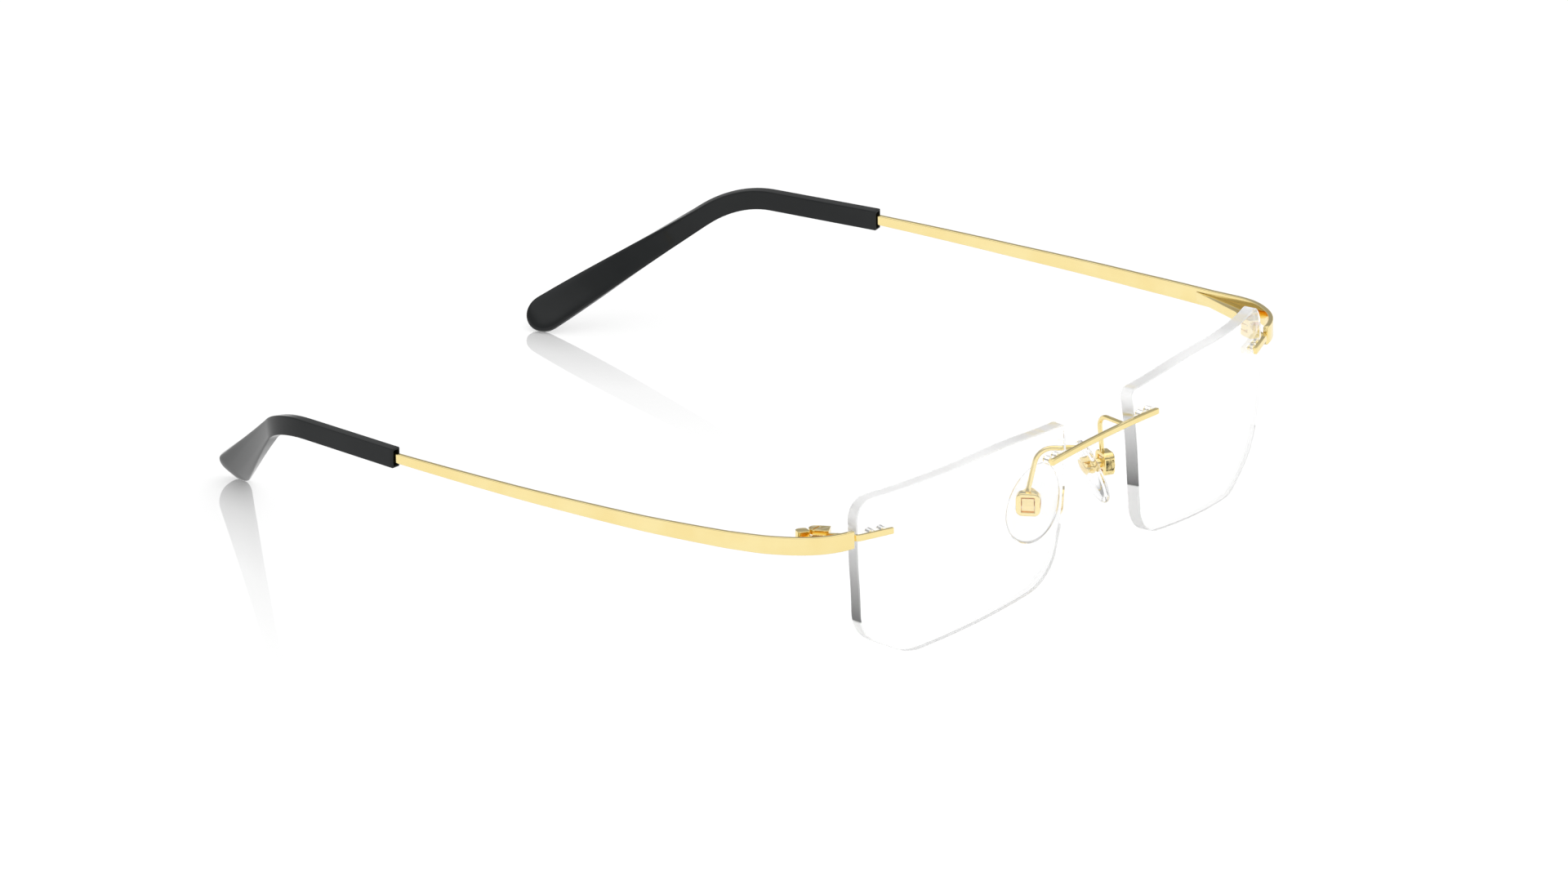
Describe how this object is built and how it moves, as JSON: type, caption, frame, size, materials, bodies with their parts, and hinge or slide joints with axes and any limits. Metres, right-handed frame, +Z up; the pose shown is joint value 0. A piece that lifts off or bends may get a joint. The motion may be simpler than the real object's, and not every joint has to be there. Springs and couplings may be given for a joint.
{
  "type": "rimless eyeglasses",
  "caption": "Rimless eyeglasses: clear drilled lenses, gold bridge bar and hinged gold temples with black plastic tips, clear nose pads on wire arms.",
  "frame": {"origin": "middle of the outer box, on the surface that the open glasses stand on", "axes": "+X towards the wearer's left, +Y back along the temples, +Z up"},
  "size_m": [0.1482, 0.1542, 0.0328],
  "materials": {
    "lens": "polished clear plastic",
    "gold": "polished gold plating",
    "screw": "polished gold plating",
    "clear_plastic": "clear",
    "pad": "soft clear silicone",
    "tip": "gloss black"
  },
  "bodies": {
    "root": {"lens_left": "lens", "lens_right": "lens", "bridge_bar": "gold", "bridge_plug_left": "clear_plastic", "bridge_plug_right": "clear_plastic", "pad_arm_left": "gold", "pad_arm_right": "gold", "pad_box_left": "gold", "pad_box_right": "gold", "pad_screw_left": "screw", "pad_screw_right": "screw", "end_piece_left": "gold", "end_piece_right": "gold", "end_plug_left": "clear_plastic", "end_plug_right": "clear_plastic", "hinge_screw_left": "screw", "hinge_screw_right": "screw", "hinge_washers_left": "clear_plastic", "hinge_washers_right": "clear_plastic"},
    "left_temple": {"hinge_leaf_left": "gold", "temple_strip_left": "gold", "temple_tip_left": "tip"},
    "right_temple": {"hinge_leaf_right": "gold", "temple_strip_right": "gold", "temple_tip_right": "tip"},
    "left_nose_pad": {"nose_pad_left": "pad", "pad_core_left": "screw"},
    "right_nose_pad": {"nose_pad_right": "pad", "pad_core_right": "screw"}
  },
  "joints": [
    {"name": "left_temple_fold", "type": "hinge", "parent": "root", "child": "left_temple", "pos_m": [0.064, -0.06102, 0.0243], "axis": [0, 0, 1], "range_deg": [0, 87]},
    {"name": "right_temple_fold", "type": "hinge", "parent": "root", "child": "right_temple", "pos_m": [-0.064, -0.06102, 0.0243], "axis": [0, 0, -1], "range_deg": [0, 76]},
    {"name": "left_pad_tilt", "type": "hinge", "parent": "root", "child": "left_nose_pad", "pos_m": [0.01215, -0.06822, 0.0164], "axis": [-0.5, -0.866, 0], "range_deg": [-8, 8]},
    {"name": "right_pad_tilt", "type": "hinge", "parent": "root", "child": "right_nose_pad", "pos_m": [-0.01215, -0.06822, 0.0164], "axis": [-0.5, 0.866, 0], "range_deg": [-8, 8]}
  ]
}
